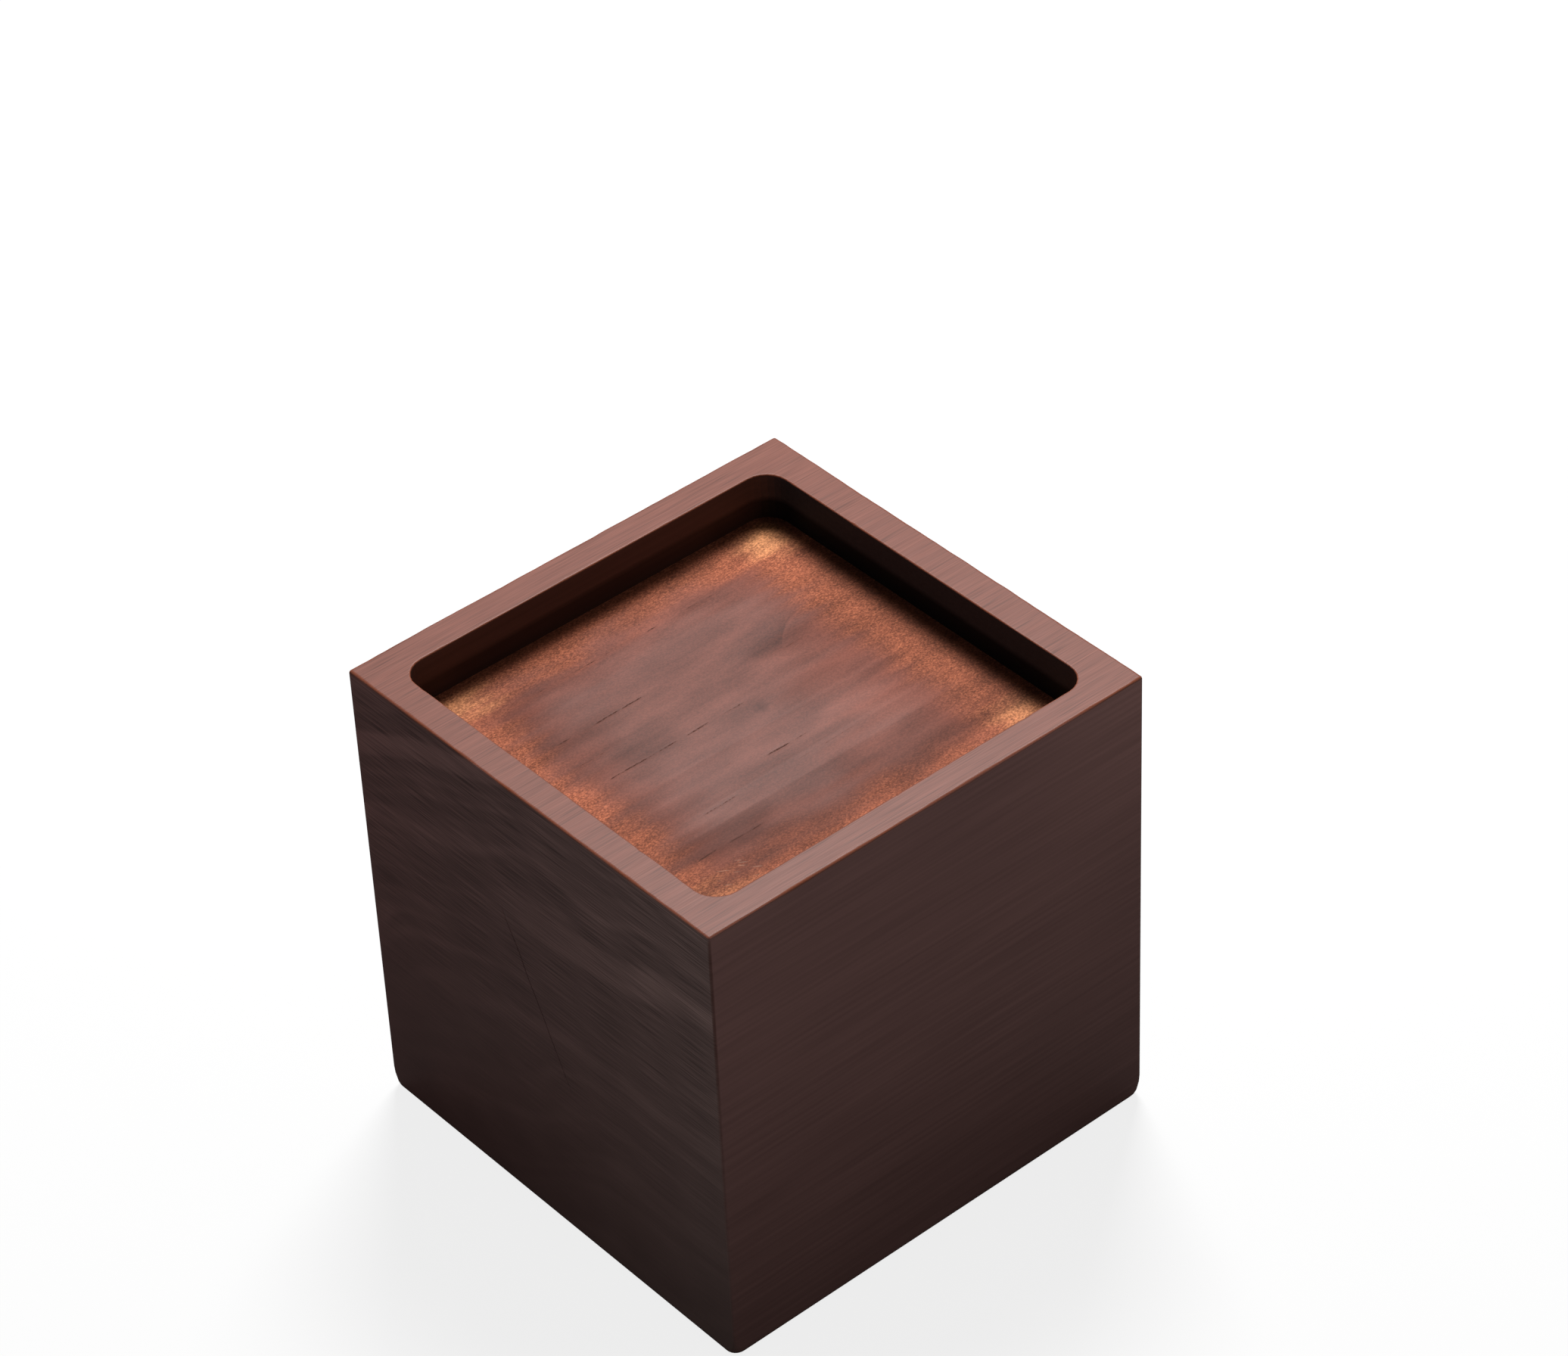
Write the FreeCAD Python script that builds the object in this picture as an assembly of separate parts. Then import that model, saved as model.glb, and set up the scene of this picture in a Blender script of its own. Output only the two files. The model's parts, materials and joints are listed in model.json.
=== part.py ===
import FreeCAD, Part
import os

# A bed riser: one block of solid wood with a shallow, nearly square recess routed in its top.
# The bed's leg stands in the recess, and the block stands on the floor on its flat underside.
# The origin is at the middle of the underside, +Z points up and the grain runs along X.
# Every length is in millimetres.

# The block, sawn and planed to size
block_length = 102.0
block_width = 100.2
block_height = 102.2

# The recess for the bed's leg, cut with a straight router bit that leaves its own radius in the corners
recess_depth = 10.0
router_bit_diameter = 10.0

# The rim that the router leaves standing, a little wider at the far end and the far side of the block
rim_at_near_end = 6.5
rim_at_far_end = 7.5
rim_at_near_side = 6.2
rim_at_far_side = 6.7

# Edges eased with sandpaper: round the foot, up the corners, round the top and inside the rim
foot_radius = 1.5
corner_radius = 0.5
top_radius = 0.5
rim_radius = 0.3


def level_edges(solid, height):
    """The edges that lie wholly at one height."""
    return [e for e in solid.Edges if abs(e.BoundBox.ZMin - height) < 1e-6 and e.BoundBox.ZLength < 1e-6]


def rising_edges(solid):
    """The edges that climb: a block's corners, with the curves that carry them round its foot."""
    return [e for e in solid.Edges if e.BoundBox.ZLength > 0.1]


def planed_block():
    """The block with its foot, corners and top edges eased, before it is routed."""
    near_corner = FreeCAD.Vector(-block_length / 2, -block_width / 2, 0)
    block = Part.makeBox(block_length, block_width, block_height, near_corner)
    block = block.makeFillet(foot_radius, level_edges(block, 0))
    block = block.makeFillet(corner_radius, rising_edges(block))
    return block.makeFillet(top_radius, level_edges(block, block_height))


def leg_recess():
    """The wood that the router takes away inside the rim, with the bit's radius in its four corners."""
    length = block_length - rim_at_near_end - rim_at_far_end
    width = block_width - rim_at_near_side - rim_at_far_side
    near_corner = FreeCAD.Vector(
        rim_at_near_end - block_length / 2, rim_at_near_side - block_width / 2, block_height - recess_depth
    )
    pocket = Part.makeBox(length, width, recess_depth, near_corner)
    return pocket.makeFillet(router_bit_diameter / 2, rising_edges(pocket))


def rim_edges(routed, pocket):
    """The sharp edges that the router leaves round the mouth of the recess."""
    mouth = pocket.BoundBox
    mouth.enlarge(0.001)
    return [e for e in level_edges(routed, block_height) if mouth.isInside(e.BoundBox)]


def riser():
    """The finished riser: planed, routed, and the rim of its recess eased."""
    pocket = leg_recess()
    routed = planed_block().cut(pocket)
    return routed.makeFillet(rim_radius, rim_edges(routed, pocket))


os.makedirs("parts", exist_ok=True)
riser_block = riser()
riser_block.exportStep("parts/riser_block.step")
print("riser_block: valid", riser_block.isValid(), "solids", len(riser_block.Solids))
print("volume in cubic millimetres: %.0f" % riser_block.Volume)
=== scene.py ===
import json
from math import cos, hypot, pi, radians, sin

import bpy
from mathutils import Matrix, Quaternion, Vector, noise


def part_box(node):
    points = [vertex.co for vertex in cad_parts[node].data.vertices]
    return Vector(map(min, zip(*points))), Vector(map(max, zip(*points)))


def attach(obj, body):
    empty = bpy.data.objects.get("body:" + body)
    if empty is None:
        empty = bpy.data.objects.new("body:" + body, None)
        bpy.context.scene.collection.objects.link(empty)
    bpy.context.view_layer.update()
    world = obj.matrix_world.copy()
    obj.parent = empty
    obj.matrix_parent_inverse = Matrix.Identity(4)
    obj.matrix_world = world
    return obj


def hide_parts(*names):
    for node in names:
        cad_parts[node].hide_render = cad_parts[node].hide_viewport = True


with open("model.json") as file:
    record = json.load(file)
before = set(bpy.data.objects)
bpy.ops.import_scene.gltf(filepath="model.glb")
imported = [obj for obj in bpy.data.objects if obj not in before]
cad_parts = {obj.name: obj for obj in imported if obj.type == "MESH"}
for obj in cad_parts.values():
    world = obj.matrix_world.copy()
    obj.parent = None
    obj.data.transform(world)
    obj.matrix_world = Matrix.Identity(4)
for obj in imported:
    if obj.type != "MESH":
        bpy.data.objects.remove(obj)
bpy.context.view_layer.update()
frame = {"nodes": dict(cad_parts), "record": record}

# The riser is one block of solid wood with the grain along X, sawn and planed square, then routed.
# Its skin is a dark brown stain under a thin satin finish. The stain is thin and orange near the
# walls of the recess. The arrises are sanded by hand, and a drying check runs down the near end.
mm = 0.001
low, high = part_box("riser_block")
bed_height = next(m for m in frame["record"]["mounts"] if m["name"] == "recess_floor")["pos_m"][2]
cad_points = [v.co for v in frame["nodes"]["riser_block"].data.vertices]
bed_points = [p for p in cad_points if abs(p.z - bed_height) < 0.01 * mm and abs(p.x) < high.x - mm]
recess_low = Vector((min(p.x for p in bed_points), min(p.y for p in bed_points)))
recess_high = Vector((max(p.x for p in bed_points), max(p.y for p in bed_points)))

# Radii of the edges. The corners were knocked rounder over the last few millimetres above the foot
foot_radius = 1.5 * mm
corner_radius = 0.5 * mm
knocked_corner = 2.6 * mm
knocked_height = 5.0 * mm
top_radius = 0.5 * mm
mouth_radius = 0.3 * mm
router_radius = 5.0 * mm
least_radius = 0.2 * mm

# How finely the mesh is divided
beside_an_edge = 0.15 * mm
line_spacing = 1.3 * mm
least_spacing = 0.1 * mm
below_top_arris = 0.9 * mm
below_mouth = 1.0 * mm
arc_steps = 6
rounding_steps = 4
side_steps = 60
rim_steps = 6
wall_steps = 7

# The drying check: how far across the near end and how high its two ends are, and its size
check_top = Vector((9.0, 70.8)) * mm
check_foot = Vector((-7.4, 36.6)) * mm
check_half_width = 0.16 * mm
check_depth = 0.7 * mm
check_wander = 0.35 * mm

# Open pores in the bed, in rows along the grain: where the row starts and ends, its place and its depth
pore_half_width = 0.3 * mm
pore_depth = 0.02 * mm
pore_wander = 0.25 * mm
pore_rows = [
    (-26.5, -5, 31.3, 0.6), (-4.5, 10, 31.3, 1.0), (11, 19, 31.3, 0.5), (-29.5, -10, 17.2, 0.9),
    (-33, -25, 10, 0.5), (18, 26.5, 10, 0.5), (-30, -6.5, 3.3, 0.8), (-3, 6.5, 3.3, 0.7),
    (-12, -9.5, -8, 0.5), (-33, -21, -11, 0.5), (-5.5, 0.3, -11, 1.0), (1, 5, -11, 0.5),
    (-23.5, -16, -15.6, 0.5), (-8, 18, -15.6, 0.35), (-33, -14.5, -24.5, 0.8), (10, 14, -27.5, 0.4),
]


def spread(length, spacing, extra):
    """Places along an edge as shares of its length, evenly spaced, with a close pair at each end."""
    count = round(length / spacing)
    close = beside_an_edge / length
    apart = least_spacing / length
    even = [i / count for i in range(1, count)]
    clear = [share for share in even if all(abs(share - other) > apart for other in extra)]
    return sorted([0, close, 1 - close, 1] + clear + list(extra))


def row_at(place_y):
    """The share along an end whose line crosses the middle of the bed at place_y."""
    middle = (recess_low.y + recess_high.y) / 2
    half = (recess_high.y - recess_low.y) / 2
    # The lines of the bed's grid bow outwards, so each starts a little nearer to the middle
    bow = 1 - router_radius * (1 - cos(pi / 4)) / half
    return 0.5 + (place_y - middle) * bow / (2 * (half - router_radius))


# The check and each row of pores have mesh lines of their own
straight_end = high.y - low.y - 2 * corner_radius
straight_side = high.x - low.x - 2 * corner_radius
check_share = ((check_top.x + check_foot.x) / 2 - low.y - corner_radius) / straight_end
own_lines = [check_share + side * check_half_width / straight_end for side in (-1, 0, 1)]
for row in sorted({row[2] for row in pore_rows}):
    own_lines += [row_at(row * mm + side * pore_half_width) for side in (-1, 0, 1)]
along = spread(straight_side, line_spacing, [])
across = spread(straight_end, line_spacing, own_lines)


def arc(share_x, share_y, first):
    """The stations round one corner, between its two straight sides."""
    turns = [radians(first + 90 * step / arc_steps) for step in range(1, arc_steps)]
    return [(share_x, share_y, cos(turn), sin(turn)) for turn in turns]


# A station is a share of the block's length, a share of its width and the way that it faces
stations = [(share, 0, 0, -1) for share in along] + arc(1, 0, -90)
stations += [(1, share, 1, 0) for share in across] + arc(1, 1, 0)
stations += [(share, 1, 0, 1) for share in reversed(along)] + arc(0, 1, 90)
stations += [(0, share, -1, 0) for share in reversed(across)] + arc(0, 0, 180)
round_it = len(stations)


def uneven(point, size, seed):
    """Smooth noise from -1 to 1 that changes over about size."""
    return noise.noise(point / size + Vector((seed, seed * 1.7, -seed)))


def check_at(z):
    """Where the drying check runs at one height, as a share of the near end's width."""
    share = min(max((z - check_foot.y) / (check_top.y - check_foot.y), 0), 1)
    place = check_foot.x + share * (check_top.x - check_foot.x)
    place += check_wander * uneven(Vector((z, 0, 0)), 6 * mm, 3)
    return (place - low.y - corner_radius) / straight_end


def ring(start, end, corner, inset, z, follow_check=False):
    """One loop of points round a rectangle with rounded corners, drawn in by inset at each station."""
    points = []
    for (share_x, share_y, out_x, out_y), draw_in in zip(stations, inset):
        radius = max(corner - draw_in, least_radius)
        edge = draw_in + radius
        if follow_check and out_x == -1:
            bent = check_at(z)
            if share_y < check_share:
                share_y = share_y / check_share * bent
            else:
                share_y = 1 - (1 - share_y) / (1 - check_share) * (1 - bent)
        x = start.x + edge + share_x * (end.x - start.x - 2 * edge) + radius * out_x
        y = start.y + edge + share_y * (end.y - start.y - 2 * edge) + radius * out_y
        points.append(Vector((x, y, z)))
    return points


def corner_at(z):
    """The radius of the block's corners, which were knocked rounder close to the foot."""
    return corner_radius + knocked_corner * max(1 - z / knocked_height, 0) ** 2


def top_eased_at(point):
    """How far the block's top edge is rounded at one point. A hand with sandpaper leaves it uneven."""
    return top_radius * (1 + 0.4 * uneven(point, 9 * mm, 3) + 0.25 * uneven(point, 2 * mm, 5))


def mouth_eased_at(point):
    """How far the mouth of the recess is rounded at one point, more where it is chipped."""
    chipped = max(uneven(point, 1.6 * mm, 11) - 0.25, 0)
    return mouth_radius * (1 + 0.3 * uneven(point, 7 * mm, 8) + 1.6 * chipped)


vertices = []
wear = []
zones = []


def add_ring(points, zone, worn=0.0):
    """Keeps a loop, the zone of the faces that leave it upwards, and how far its arris is worn."""
    zones.append(zone)
    vertices.extend(points)
    wear.extend([worn] * round_it)


# The rounded foot
no_inset = [0.0] * round_it
quarter = [step / rounding_steps * pi / 2 for step in range(rounding_steps + 1)]
for turn in quarter:
    z = foot_radius * (1 - cos(turn))
    inset = [foot_radius * (1 - sin(turn))] * round_it
    add_ring(ring(low, high, corner_at(z), inset, z), "side")

# The four sides, with the check pressed into the near end
side_foot = foot_radius + beside_an_edge
side_top = high.z - below_top_arris
check_station = min(i for i in range(round_it) if stations[i][2] == -1 and stations[i][1] == check_share)
for step in range(side_steps + 1):
    z = side_foot + step / side_steps * (side_top - side_foot)
    points = ring(low, high, corner_at(z), no_inset, z, follow_check=True)
    if check_foot.y < z < check_top.y:
        share = (z - check_foot.y) / (check_top.y - check_foot.y)
        ragged = 0.75 + 0.5 * uneven(points[0], 3 * mm, 9)
        points[check_station].x += check_depth * sin(pi * share) ** 0.5 * ragged
    add_ring(points, "side")

# The top edge, the rim, the mouth of the recess and its walls
top_eased = [top_eased_at(point) for point in ring(low, high, corner_radius, no_inset, high.z)]
mouth_line = ring(recess_low, recess_high, router_radius, no_inset, high.z)
mouth_eased = [mouth_eased_at(point) for point in mouth_line]
mouth_wear = 0.8
for turn in quarter:
    inset = [eased * (1 - cos(turn)) for eased in top_eased]
    points = ring(low, high, corner_radius, inset, high.z)
    for point, eased in zip(points, top_eased):
        point.z -= eased * (1 - sin(turn))
    add_ring(points, "side" if turn < pi / 4 else "top", max(sin(2 * turn), 0) ** 0.5)
beside_top = [eased + beside_an_edge for eased in top_eased]
beside_mouth = [-eased - beside_an_edge for eased in mouth_eased]
outer = ring(low, high, corner_radius, beside_top, high.z)
inner = ring(recess_low, recess_high, router_radius, beside_mouth, high.z)
for step in range(rim_steps + 1):
    add_ring([a.lerp(b, step / rim_steps) for a, b in zip(outer, inner)], "top")
for turn in quarter:
    inset = [eased * (sin(turn) - 1) for eased in mouth_eased]
    points = ring(recess_low, recess_high, router_radius, inset, high.z)
    for point, eased in zip(points, mouth_eased):
        point.z -= eased * (1 - cos(turn))
    add_ring(points, "top" if turn < pi / 4 else "wall", mouth_wear * max(sin(2 * turn), 0) ** 0.5)
wall_top = high.z - below_mouth
for step in range(wall_steps + 1):
    z = wall_top + step / wall_steps * (bed_height - wall_top)
    add_ring(ring(recess_low, recess_high, router_radius, no_inset, z), "wall")

# The upright corners are worn too, from a quarter of the height up
corner_wear = 0.7
worn_from = 0.25
worn_fully = 0.75
for level in range(rounding_steps + 1, rounding_steps + side_steps + 2):
    height_share = vertices[level * round_it].z / high.z
    worn = corner_wear * min(max((height_share - worn_from) / (worn_fully - worn_from), 0), 1)
    for index, (_, _, out_x, out_y) in enumerate(stations):
        wear[level * round_it + index] = worn * abs(2 * out_x * out_y) ** 0.5

# A face on a wall is end grain as far as it faces along the block
faces = []
face_zones = []
end_shares = []
for level, zone in enumerate(zones[:-1]):
    for index in range(round_it):
        following = (index + 1) % round_it
        here, above = level * round_it, (level + 1) * round_it
        faces.append((here + index, here + following, above + following, above + index))
        face_zones.append(zone)
        end_shares.append((stations[index][2] + stations[following][2]) ** 2 / 4)


def fill(first, zone, facing_up):
    """Closes a loop with a grid whose lines run straight across it and bend into its rounded corners."""
    # The loop is cut into four sides at the middle of each corner
    half = arc_steps // 2
    cuts = [-half, len(along) - 1 + half]
    cuts.append(cuts[1] + len(across) - 1 + arc_steps)
    cuts.append(cuts[2] + len(along) - 1 + arc_steps)
    cuts.append(cuts[0] + round_it)
    sides = [[first + index % round_it for index in range(a, b + 1)] for a, b in zip(cuts, cuts[1:])]
    near, far_end, far, near_end = sides[0], sides[1], sides[2][::-1], sides[3][::-1]
    a, b, c, d = (vertices[corner] for corner in (near[0], near[-1], far[0], far[-1]))
    grid = []
    for j, (left, right) in enumerate(zip(near_end, far_end)):
        v = (vertices[left].y - a.y) / (c.y - a.y)
        row = []
        for i, (bottom, top) in enumerate(zip(near, far)):
            u = (vertices[bottom].x - a.x) / (b.x - a.x)
            if j in (0, len(near_end) - 1):
                row.append(bottom if j == 0 else top)
            elif i in (0, len(near) - 1):
                row.append(left if i == 0 else right)
            else:
                point = vertices[bottom].lerp(vertices[top], v) + vertices[left].lerp(vertices[right], u)
                row.append(len(vertices))
                vertices.append(point - a.lerp(b, u).lerp(c.lerp(d, u), v))
                wear.append(0.0)
        grid.append(row)
    for low_row, high_row in zip(grid, grid[1:]):
        for i in range(len(low_row) - 1):
            corners = (low_row[i], low_row[i + 1], high_row[i + 1], high_row[i])
            faces.append(corners if facing_up else corners[::-1])
            face_zones.append(zone)
            end_shares.append(0.0)


fill(0, "underside", facing_up=False)
first_of_bed = len(vertices)
fill((len(zones) - 1) * round_it, "bed", facing_up=True)


def rise(value, start, end):
    """Goes smoothly from 0 at start to 1 at end, whichever of them is larger."""
    share = min(max((value - start) / (end - start), 0), 1)
    return share * share * (3 - 2 * share)


# The rows of open pores are pressed into the bed
open_pore = [0.0] * len(vertices)
for index, point in enumerate(vertices[first_of_bed:], first_of_bed):
    x = point.x / mm
    for start_x, end_x, at_y, depth in pore_rows:
        off = abs(point.y - at_y * mm)
        if off < 1.1 * pore_half_width and start_x - 2 < x < end_x + 2:
            if off < 0.1 * pore_half_width:
                opened = rise(x, start_x - 1.5, start_x + 1) * rise(x, end_x + 1.5, end_x - 1)
                opened *= depth * rise(uneven(point, 2.5 * mm, at_y), -0.3, 0.2)
                open_pore[index] = opened
                point.z -= pore_depth * opened
            point.y += pore_wander * uneven(Vector((point.x, at_y, 0)), 8 * mm, 2)
            break

# Patches in the bed: the middle and reach of each, how far the finish has soaked in, and how much
# darker it is than the rest of the bed
bed_darkness = 0.12
bed_patches = [
    (15, 5, 13, 9, 0.1, 0.04), (18, -1.4, 13, 3.8, 0.35, 0.1), (3.7, 0, 1.4, 1.5, 0.1, 0.3),
    (-22, 5.5, 11, 3.2, 0.15, 0.1), (-26, -22.5, 12, 4.2, 0.5, 0.27), (-19, -31, 13, 4.5, 0.3, 0.1),
    (28, -6.3, 6, 1.3, 0.2, 0.25), (36.5, -5.5, 3.2, 3, 0.3, 0.1), (-26, 17, 11, 3.6, 0.25, 0.18),
    (-25, 31.5, 13, 4, 0.4, 0.1), (-8, -22.5, 9, 2.4, 0.1, 0.04), (14, -30, 20, 5, 0.2, 0.11),
    (14, -23.5, 14, 3, 0.25, 0.06), (-28, -11, 9, 2, 0.3, 0.12), (19, 12.2, 8, 3.4, 0.25, 0.14),
    (17, -11, 9, 3, 0.0, -0.12), (-9, 35, 6, 3, 0.0, -0.2), (-20, 3.9, 9, 1.4, 0.1, 0.1),
    # The last patch, by the far side's wall, is painted shade
    (19, 39, 7, 3.2, 0.0, 0.25),
]


def patches_at(x, y, along_grain):
    """How far the finish has soaked into the bed at one place, and how dark the bed is there."""
    soaked, dark = 0, bed_darkness
    for middle_x, middle_y, reach_x, reach_y, soaks_in, darkens in bed_patches:
        away = ((x - middle_x) / reach_x) ** 2 + ((y - middle_y) / reach_y) ** 2
        inside = rise(away + 0.7 * uneven(along_grain, 2 * mm, 15), 1.6, 0)
        soaked = min(soaked + soaks_in * inside, 1)
        dark += darkens * inside
    return soaked, dark


def painted_light_outside(x, y, z):
    """How much painted light makes an end or a side lighter towards one edge, less the painted shade that
    darkens it low down.
    """
    on_an_end = abs(x) > high.x / mm - 0.1
    if on_an_end:
        painted_light = 0.3 * rise(y, 20, -60) * (0.4 + 0.6 * rise(z, 5, 65))
        return painted_light - 0.14 * rise(y, -20, 60) * rise(z, 70, 0)
    return 0.4 * rise(x, 5, 60) * rise(z, 55, 110) - 0.14 * rise(x, -20, 60) * rise(z, 60, 0)


def paler_bed(x, y, strip):
    """How much paler the bed is at one place: by the near walls, and a little way off the far ones."""
    pale = 0.24 * rise(y, -31, -36) + 0.16 * rise(x, -31, -36) * rise(y, -14, -4)
    off_far_end = 0.26 * rise(x, 2, 24) * (1 - 1.4 * rise(x, 26, 34))
    off_far_end *= 1 - 0.5 * strip
    off_far_end *= 1 - 0.6 * rise(y, -18, -26)
    # Close to the far side's wall this lift gives way: painted shade
    off_far_side = 0.28 * rise(y, 22, 31) * rise(x, -28, -10) * (1 - 0.9 * rise(y, 32, 37.5))
    return pale + (max(off_far_end, off_far_side) + 0.07 * rise(x, -22, -27))


# The pith that the growth rings run round: how far across the block, and how high
pith = Vector((-63, -160)) * mm

# Beyond these places, in millimetres, the block has only its rim and its outer faces
past_recess_x = 47
past_recess_y = 46


def skin_at(point):
    """What the material reads at one point, worked out in millimetres from where the point is."""
    x, y, z = point / mm
    top, bit = high.z / mm, router_radius / mm
    along_grain = Vector((point.x / 7, point.y, point.z))
    wander = 9 * uneven(Vector((point.x / 6, point.y, point.z)), 30 * mm, 4)
    cloud = 0.06 * uneven(Vector((point.x / 2.5, point.y, point.z)), 8 * mm, 14)

    # How far the point is from each wall of the recess, first as it is and then along a drifting line
    from_ends = [x - recess_low.x / mm, recess_high.x / mm - x]
    from_sides = [y - recess_low.y / mm, recess_high.y / mm - y]
    drift = 2.5 * uneven(point, 9 * mm, 12) + 3.5 * uneven(along_grain, 2.2 * mm, 13)
    near_end, far_end = [distance + drift for distance in from_ends]
    near_side, far_side = [distance + drift for distance in from_sides]
    far_side += 2.5 * rise(abs(x - 3), 18, 8)
    corner_gap = hypot(max(bit - min(from_ends), 0), max(bit - min(from_sides), 0))
    from_edge = bit - corner_gap if corner_gap > 0 else min(from_ends + from_sides)

    # The stain and the finish thin out towards the walls, and the wood is nearly bare in the corners.
    # A strip along the bed keeps more of its finish
    stain_left = rise(near_end, 6, 15) * rise(far_end, 8, 18)
    stain_left *= rise(near_side, 5, 19)
    stain_left *= rise(far_side, 5, 14)
    stain_left *= rise(far_end + far_side, 18, 38)
    strip = rise(abs(y - 20), 12, 4)
    film_left = rise(near_end, 5, 28) * rise(far_end, 8, 36 - 10 * strip)
    film_left *= rise(near_side, 8, 30)
    film_left *= rise(far_side, 4, 22)
    film_left *= rise(min(near_end, far_end) + min(near_side, far_side), 16, 38)
    bareness = 0.2 + 0.3 * rise(x, -45, 38) + 0.38 * rise(y, -40, 38)
    in_corner = rise(min(near_end * 0.8 - 1.5, far_end), 15.5, 6.5)
    in_corner *= rise(min(near_side - 4.5, far_side), 12.5, 5)
    soaked, dark = patches_at(x, y, along_grain)

    # The outer faces get painted shade towards the foot and painted light and shade towards their edges.
    # The bed gets painted shade by its walls, most at the far end
    tone_light_and_shade = 1 + cloud
    past_recess = abs(x) > past_recess_x or abs(y) > past_recess_y
    if past_recess and z < top - 0.3:
        tone_light_and_shade -= 0.38 * rise(z, 110, -15)
        tone_light_and_shade += painted_light_outside(x, y, z)
    elif z < top - 5:
        # Painted shade by the walls of the recess, deepest by the far end
        painted_wall_shade = max(0.5 * rise(from_edge, 8, 0), 0.75 * rise(from_ends[1], 9, 1))
        tone_light_and_shade = (tone_light_and_shade - dark + paler_bed(x, y, strip)) * (1 - painted_wall_shade)
    return {
        "tone_light_and_shade": tone_light_and_shade,
        "coated": film_left * (1 - soaked),
        "thin": 1 - stain_left,
        "flamed": rise(((x - 18) / 12) ** 2 + ((y - 14.3) / 4.5) ** 2, 1.3, 0.2),
        "scuffed": rise(hypot((x + 30) / 2, y + 31), 5, 1.5),
        # By the walls the bare gold gives way to the thin stain: painted shade
        "bare": in_corner * bareness * rise(from_edge, 0.5, 4.5),
        "radius": hypot(point.y - pith.x, point.z - pith.y) / mm + wander,
    }


# Each zone's stain along the grain, the stain of its end grain, and how much of the finish stays on it.
# The outer faces' colours also hold a painted sheen
stains_and_sheen = {
    "top": (0.215, 0.068, 0.044, 1),
    "bed": (0.205, 0.0647, 0.0435, 1),
    "wall": (0.105, 0.046, 0.032, 1),
    "side": (0.335, 0.176, 0.158, 1),
    "underside": (0.12, 0.05, 0.036, 1),
}
end_stains_and_sheen = {"wall": (0.034, 0.027, 0.027, 1), "side": (0.234, 0.134, 0.122, 1)}
films = {"top": 0.47, "bed": 0.365, "wall": 0.0, "side": 0.03, "underside": 0.0}

# The end grain is greyer towards the near side and redder towards the far side
grey_change = 0.13
grey_reach = 45 * mm
zone_stains_and_sheen = []
for face, zone, end_share in zip(faces, face_zones, end_shares):
    mixed = Vector(stains_and_sheen[zone]).lerp(Vector(end_stains_and_sheen.get(zone, stains_and_sheen[zone])), end_share)
    if zone == "side":
        greyer = 1 - grey_change * end_share * vertices[face[0]].y / grey_reach
        mixed = Vector((mixed[0], mixed[1] * greyer, mixed[2] * greyer, 1))
    zone_stains_and_sheen.extend(mixed)

mesh = bpy.data.meshes.new("routed_block")
mesh.from_pydata(vertices, [], faces)


def keep(name, domain, values):
    """Stores a value for each point or each face of the block, which its material reads by name."""
    mesh.attributes.new(name, "FLOAT", domain).data.foreach_set("value", values)


skins = [skin_at(point) for point in vertices]
for name in skins[0]:
    keep(name, "POINT", [skin[name] for skin in skins])
keep("open_pore", "POINT", open_pore)
keep("wear", "POINT", wear)
mesh.attributes.new("stain_and_sheen", "FLOAT_COLOR", "FACE").data.foreach_set("color", zone_stains_and_sheen)
end_grain = [share if zone == "side" else 0.0 for zone, share in zip(face_zones, end_shares)]
keep("film", "FACE", [films[zone] for zone in face_zones])
keep("end_grain", "FACE", end_grain)
keep("bed", "FACE", [float(zone == "bed") for zone in face_zones])
keep("top", "FACE", [float(zone == "top") for zone in face_zones])
mesh.shade_smooth()
mesh.set_sharp_from_angle(angle=radians(40))
block = bpy.data.objects.new("routed_block", mesh)
bpy.context.scene.collection.objects.link(block)


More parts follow.
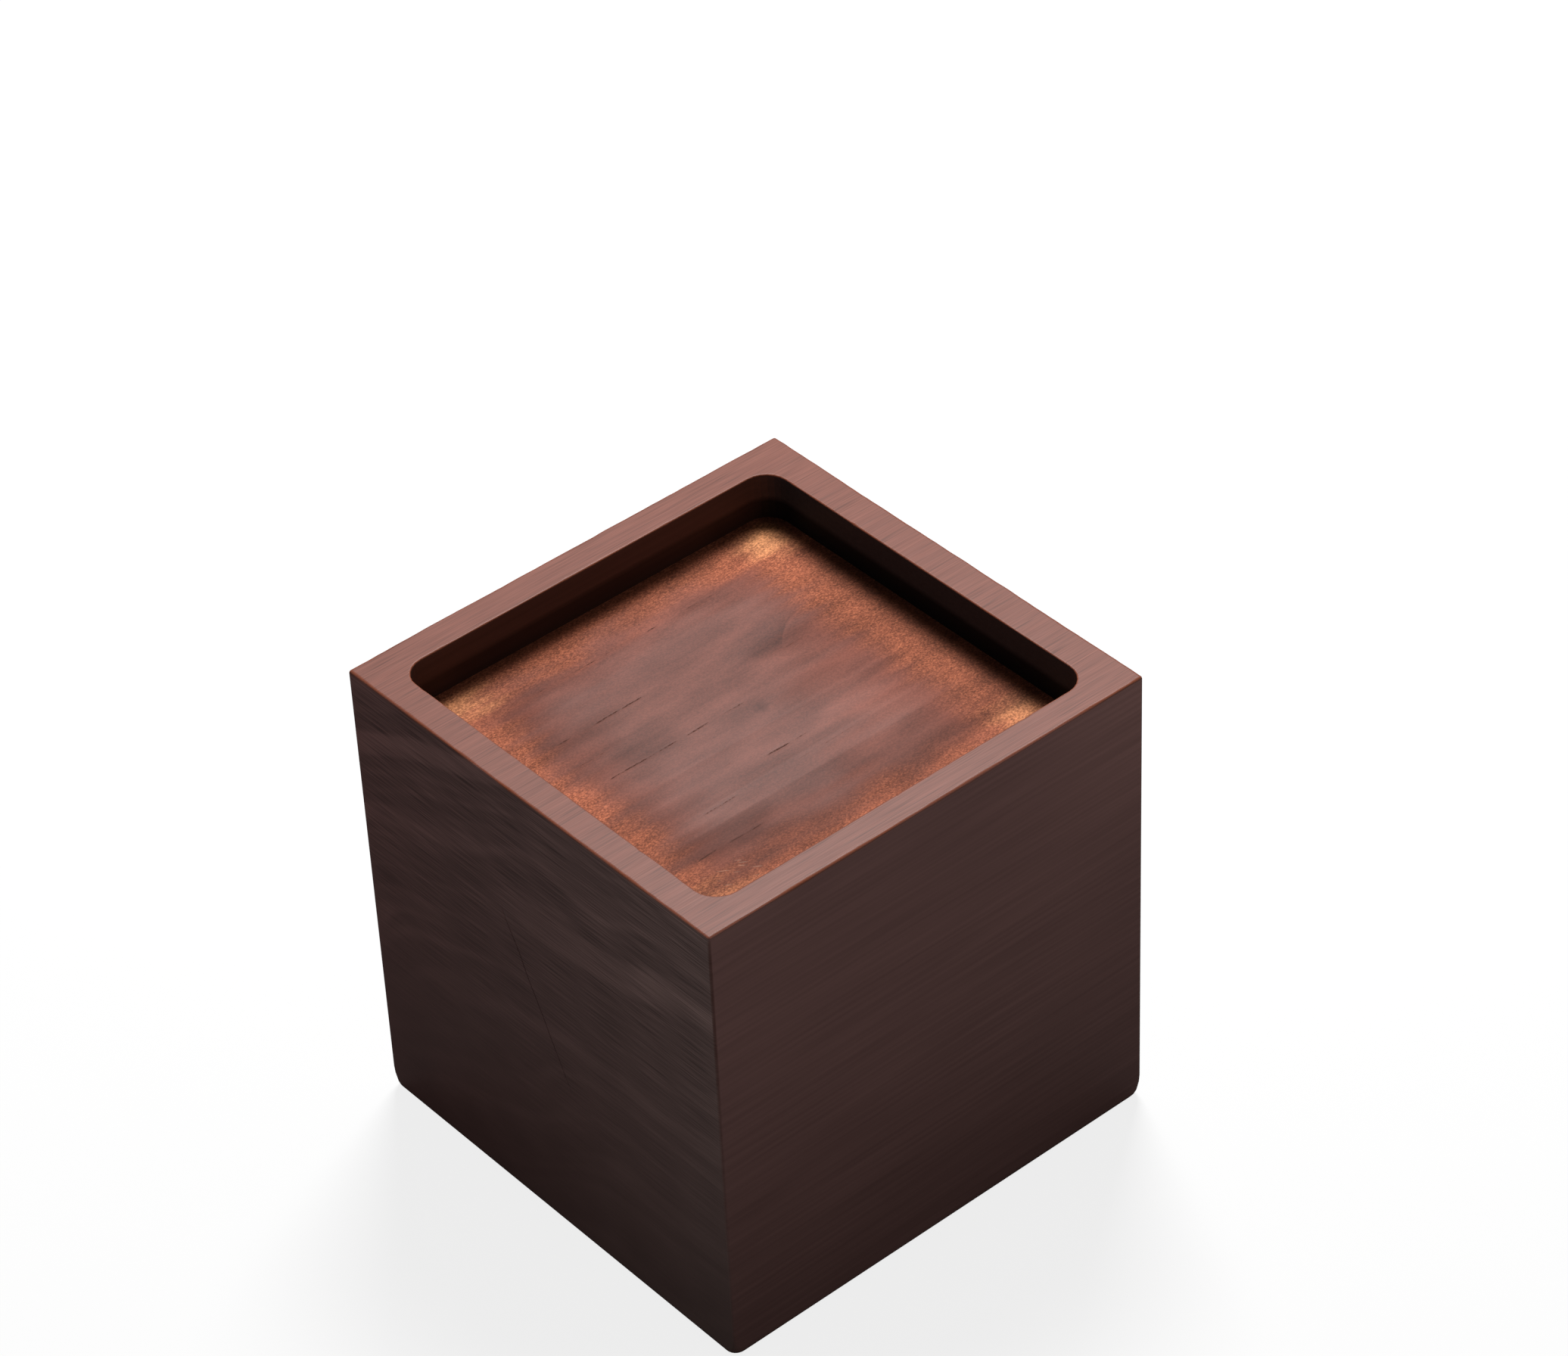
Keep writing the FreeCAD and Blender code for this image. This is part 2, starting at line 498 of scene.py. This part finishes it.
class Signal:
    """A value that runs between a material's nodes. Arithmetic on it adds the Math nodes."""

    def __init__(self, tree, socket=None):
        self.tree = tree
        self.socket = socket

    def node(self, kind, settings=None, inputs=None, output=0):
        """Adds a node, with its settings first and then its inputs, and gives back one of its outputs."""
        made = self.tree.nodes.new("ShaderNode" + kind)
        for name, value in (settings or {}).items():
            setattr(made, name, value)
        for name, value in (inputs or {}).items():
            if isinstance(value, Signal):
                self.tree.links.new(value.socket, made.inputs[name])
            else:
                made.inputs[name].default_value = value
        return Signal(self.tree, made.outputs[output])

    def held(self, name):
        """A value that the mesh holds for each of its points or faces."""
        return self.node("Attribute", {"attribute_name": name}, output="Fac")

    def math(self, operation, *values):
        """One Math node, with a value or a link for each of its inputs."""
        return self.node("Math", {"operation": operation}, dict(enumerate(values)))

    def __add__(self, other):
        return self.math("ADD", self, other)

    __radd__ = __add__

    def __sub__(self, other):
        return self.math("SUBTRACT", self, other)

    def __rsub__(self, other):
        return self.math("SUBTRACT", other, self)

    def __mul__(self, other):
        return self.math("MULTIPLY", self, other)

    __rmul__ = __mul__

    def rise(self, start, end):
        """Goes smoothly from 0 at start to 1 at end, whichever of them is larger."""
        limits = {"Value": self, "From Min": start, "From Max": end}
        return self.node("MapRange", {"interpolation_type": "SMOOTHSTEP"}, limits)

    def blend(self, where_0, where_1):
        """One colour where this is 0 and another where it is 1, by a Mix node's colour sockets."""
        return self.node("Mix", {"data_type": "RGBA"}, {0: self, 6: where_0, 7: where_1}, 2)

    def shade(self, by):
        """This colour made darker or lighter by a value."""
        return self.node("VectorMath", {"operation": "SCALE"}, {0: self, "Scale": by})

    def on_axis(self, axis):
        """How far a place lies along an axis, or how far a direction points along it."""
        return self.node("SeparateXYZ", {}, {0: self}, axis)

    def grain(self, per_mm, detail=1, seed=0):
        """Noise from about -0.5 to 0.5 over a place, with so many grains per millimetre on each axis."""
        per_metre = [1000 * grains for grains in per_mm]
        spaced = {0: self, 1: per_metre, 2: [seed] * 3}
        place = self.node("VectorMath", {"operation": "MULTIPLY_ADD"}, spaced)
        inputs = {"Vector": place, "Scale": 1, "Detail": detail, "Roughness": 0.6}
        return self.node("TexNoise", {}, inputs) - 0.5


# The material reads what the mesh holds and adds the figure of the wood
wood = bpy.data.materials.new("stained_wood")
wood.use_nodes = True
shader = wood.node_tree.nodes["Principled BSDF"]
nodes = Signal(wood.node_tree)
place = nodes.node("TexCoord", output="Object")
on_end, on_bed, on_top = nodes.held("end_grain"), nodes.held("bed"), nodes.held("top")

# Fibres and pores run along the grain, and sanding marks run across its ends. The bed also has sandy
# specks, partly painted shade of fine bumps that the mesh doesn't have, and a soft mottle
fine_fibre = place.grain((0.08, 3.6, 3.6), 1, 7)
long_fibre = place.grain((0.03, 1.3, 1.3), 0, 1)
pores = place.grain((0.10, 3.1, 3.1), 0, 9).rise(0.12, 0.26)
sanding = place.grain((1.0, 0.08, 3.6), 1, 3)
sandy_specks_and_shade = place.grain((2.4, 3.4, 3.4), 1, 21)
mottle = place.grain((0.07, 0.22, 0.22), 1, 17)
pore = (nodes.held("open_pore") * (1 + sandy_specks_and_shade * 3)).rise(0.15, 0.75)

# Bands in the bed, each with one sharp edge and one soft
bands = place.grain((0.003, 0.07, 0.07), 0, 46) * 4
band = nodes.math("FRACT", bands)
band = band.rise(0, 0.06) * (1 - band)

# A small flame in the bed's grain, where a line curls round a dark place: a painted highlight along the
# line and a painted shadow on one side of it
flamed = nodes.held("flamed")
flame_x = place.on_axis("X") * 1000
flame_y = place.on_axis("Y") * 1000
curl = flame_y - 17.9 + 7.2 * nodes.math("EXPONENT", (18.3 - flame_x) * 0.2)
flame_painted_shadow = flamed * curl.rise(-0.15, 0.4) * flame_y.rise(9.8, 10.8)
flame_painted_highlight = flamed * curl.rise(-1.0, -0.3) * curl.rise(0.25, -0.15) * flame_y.rise(10.2, 12)

# Fine slanting scratches by the near corner of the bed
turned = nodes.node("VectorRotate", {"rotation_type": "Z_AXIS"}, {"Vector": place, "Angle": radians(35)})
scratch = turned.grain((0.3, 3.2, 3.2), 0, 51).rise(0.24, 0.3) * nodes.held("scuffed")

# Growth rings on the end grain, round a pith that lies outside the block
high_on_it = place.on_axis("Z").rise(0.01, 0.09)
ring_place = nodes.node("CombineXYZ", {}, {0: nodes.held("radius") * 0.001, 1: high_on_it * 0.002})
pale_ring = ring_place.grain((0.17, 1, 1), 1, 2).rise(-0.06, 0.16)

thin_stain = (0.335, 0.099, 0.051, 1)
bare_colour = (0.72, 0.31, 0.135, 1)
# A worn arris has a painted lit colour and a painted shaded colour
worn_lit_colour = (0.29, 0.078, 0.033, 1)
worn_shaded_colour = (0.085, 0.025, 0.014, 1)
pore_colour = (0.075, 0.025, 0.016, 1)
scratch_colour = (0.55, 0.36, 0.26, 1)

# The stain, thin near the walls of the recess, and the figure that shows through it
stain_and_sheen = nodes.node("Attribute", {"attribute_name": "stain_and_sheen"}, output="Color")
border = (nodes.held("bare") + sandy_specks_and_shade * 0.3).blend(thin_stain, bare_colour).shade(1 + sandy_specks_and_shade * 1.5)
colour = (on_bed * nodes.held("thin")).blend(stain_and_sheen, border)
bed_grain = mottle * 0.95 + sandy_specks_and_shade * 0.8 - long_fibre * 0.12 + band * 0.08 - 0.04
bed_grain = bed_grain - flame_painted_shadow * 0.2 + flame_painted_highlight * 0.1
long_grain = fine_fibre * (0.12 + on_top * 0.6) + long_fibre * 0.28
long_grain = long_grain + on_bed * bed_grain - pores * on_top * 0.24
end_figure = pale_ring * 0.46 - 0.16 + sanding * 1.7
figure = (1 - on_end) * long_grain + on_end * (0.15 + high_on_it * 0.85) * end_figure
# The held tone carries painted light and shade besides the wood's own random tone
colour = colour.shade(nodes.held("tone_light_and_shade") * (1 + figure))

# Open pores are dark, scratches pale. A worn arris gets painted light, orange, where it faces up and
# painted shade, dark, where it doesn't
colour = pore.blend(colour, pore_colour)
colour = (scratch * 0.6).blend(colour, scratch_colour)
facing_up = nodes.node("NewGeometry", output="Normal").on_axis("Z")
arris_lit_and_shaded = facing_up.rise(0.08, 0.35).blend(worn_shaded_colour, worn_lit_colour)
colour = (nodes.held("wear") * (0.68 + mottle)).blend(colour, arris_lit_and_shaded)

# The satin finish is a coat over the stain. The bed's is patchy, and open pores have none
bed_film = band * 0.2 - 0.06 + mottle * 0.3
film = nodes.held("film") * (1 - on_bed * (1 - nodes.held("coated")))
film = film * (1 + fine_fibre * (0.5 - on_bed * 0.3) + on_bed * bed_film) * (1 - pore)
shader.inputs["Roughness"].default_value = 0.55
shader.inputs["Specular IOR Level"].default_value = 0.06
shader.inputs["Coat Roughness"].default_value = 0.45
wood.node_tree.links.new(colour.socket, shader.inputs["Base Color"])
wood.node_tree.links.new(film.socket, shader.inputs["Coat Weight"])
mesh.materials.append(wood)
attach(block, "root")
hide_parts("riser_block")

# The floor is white paper. It stays white to the camera away from the block and keeps a pale shadow.
# To the wood it is a plain grey, so that the block's sides stay as dark as they are.
reach = 3.0
paper_corners = [(-reach, -reach, 0), (reach, -reach, 0), (reach, reach, 0), (-reach, reach, 0)]
paper_mesh = bpy.data.meshes.new("floor")
paper_mesh.from_pydata(paper_corners, [], [(0, 1, 2, 3)])
floor = bpy.data.objects.new("floor", paper_mesh)
bpy.context.scene.collection.objects.link(floor)
paper = bpy.data.materials.new("floor_paper")
paper.use_nodes = True
shader = paper.node_tree.nodes["Principled BSDF"]
shader.inputs["Base Color"].default_value = (0.18, 0.18, 0.18, 1)
shader.inputs["Roughness"].default_value = 1.0
shader.inputs["Specular IOR Level"].default_value = 0.0
shader.inputs["Emission Color"].default_value = (0.82, 0.82, 0.82, 1)
to_camera = Signal(paper.node_tree).node("LightPath", output="Is Camera Ray")
paper.node_tree.links.new(to_camera.socket, shader.inputs["Emission Strength"])
paper_mesh.materials.append(paper)

# The room behind is white to the camera and a dim grey to the block
room_grey = (0.19, 0.19, 0.19, 1)
room_white = (1, 1, 1, 1)
world = bpy.data.worlds.new("studio")
bpy.context.scene.world = world
world.use_nodes = True
sky = world.node_tree.nodes["Background"]
to_camera = Signal(world.node_tree).node("LightPath", output="Is Camera Ray")
world.node_tree.links.new(to_camera.blend(room_grey, room_white).socket, sky.inputs["Color"])
sky.inputs["Strength"].default_value = 1.0

# One square softbox lights the block from behind and above
towards = Vector((0.45, 0.43, 1.0)).normalized()
lamp_distance = 0.9
lit_point = Vector((0, 0, 0.1))
lamp = bpy.data.lights.new("softbox", "AREA")
lamp.shape = "SQUARE"
lamp.size = 0.30
lamp.energy = 9.3
softbox = bpy.data.objects.new("softbox", lamp)
softbox.location = lit_point + towards * lamp_distance
softbox.rotation_euler = (-towards).to_track_quat("-Z", "Y").to_euler()
bpy.context.scene.collection.objects.link(softbox)

# The camera looks down on the corner between the near end and the near side
camera_data = bpy.data.cameras.new("camera")
camera_data.lens = 121.74
camera_data.sensor_width = 36
camera = bpy.data.objects.new("camera", camera_data)
bearing, dip, roll = radians(50.61), radians(38.89), radians(-2.76)
looking = Vector((cos(dip) * cos(bearing), cos(dip) * sin(bearing), -sin(dip)))
camera.rotation_mode = "QUATERNION"
camera.rotation_quaternion = looking.to_track_quat("-Z", "Y") @ Quaternion((0, 0, 1), roll)
camera.location = (-0.46424, -0.57674, 0.69777)
bpy.context.scene.collection.objects.link(camera)
bpy.context.scene.camera = camera
bpy.context.scene.view_settings.view_transform = "Standard"
